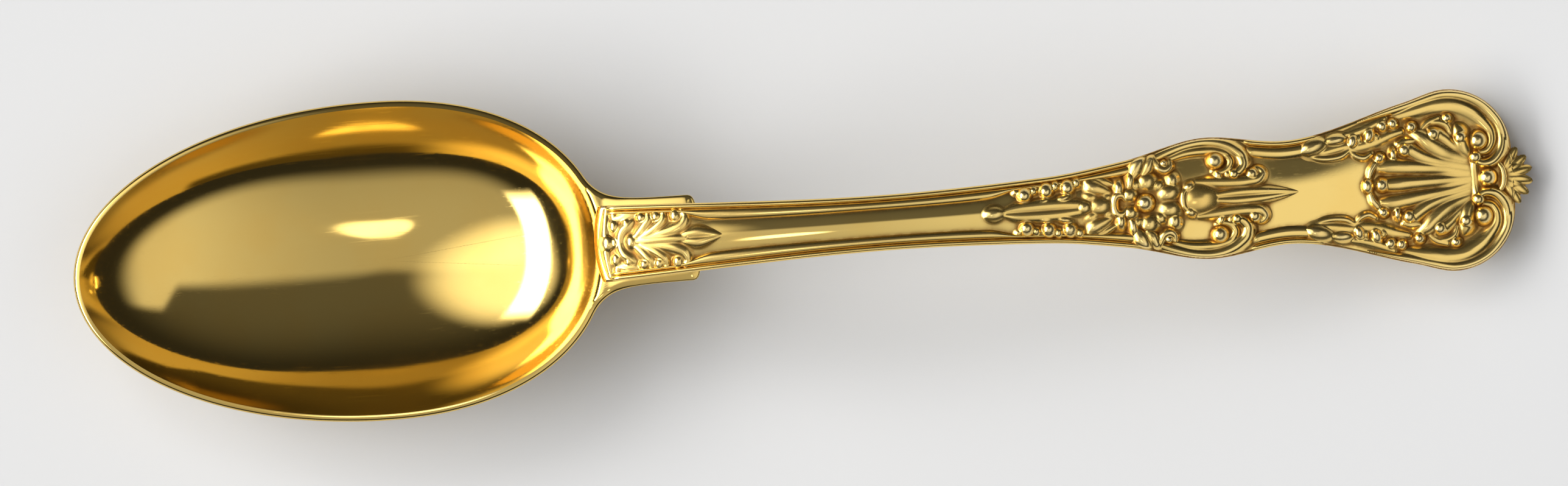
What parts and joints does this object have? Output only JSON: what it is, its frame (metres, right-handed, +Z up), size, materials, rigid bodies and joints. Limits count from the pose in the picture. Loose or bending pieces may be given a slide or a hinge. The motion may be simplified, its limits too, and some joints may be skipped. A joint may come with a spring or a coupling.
{
  "type": "soup spoon",
  "caption": "Gilt table spoon for soup: oval bowl on an arched handle with thread borders, a broad end, and applied shell, scroll, rosette and leaf ornament.",
  "frame": {"origin": "on the surface the spoon lies on, under the middle of its length and width", "axes": "+X from the bowl's tip to the handle's end, +Z up out of the bowl, +Y across the bowl"},
  "size_m": [0.2198, 0.0478, 0.0249],
  "materials": {
    "polished_gilt": "polished",
    "moulded_gilt": "polished",
    "cast_gilt": "satin"
  },
  "bodies": {
    "root": {"bowl": "polished_gilt", "heel_drop": "polished_gilt", "handle_bar": "polished_gilt", "neck_palmette": "cast_gilt", "husk_spray": "cast_gilt", "rosette": "cast_gilt", "rosette_boss": "cast_gilt", "waist_leaves": "cast_gilt", "scallop_shell": "cast_gilt", "end_boss": "cast_gilt", "end_fan": "cast_gilt", "left_stem_thread": "moulded_gilt", "left_waist_thread": "moulded_gilt", "left_lobe_scroll": "moulded_gilt", "left_end_scroll": "moulded_gilt", "left_lobe_ball": "cast_gilt", "left_end_ball": "cast_gilt", "left_wing_leaf": "cast_gilt", "left_berry_sprig": "cast_gilt", "right_stem_thread": "moulded_gilt", "right_waist_thread": "moulded_gilt", "right_lobe_scroll": "moulded_gilt", "right_end_scroll": "moulded_gilt", "right_lobe_ball": "cast_gilt", "right_end_ball": "cast_gilt", "right_wing_leaf": "cast_gilt", "right_berry_sprig": "cast_gilt"}
  },
  "joints": []
}
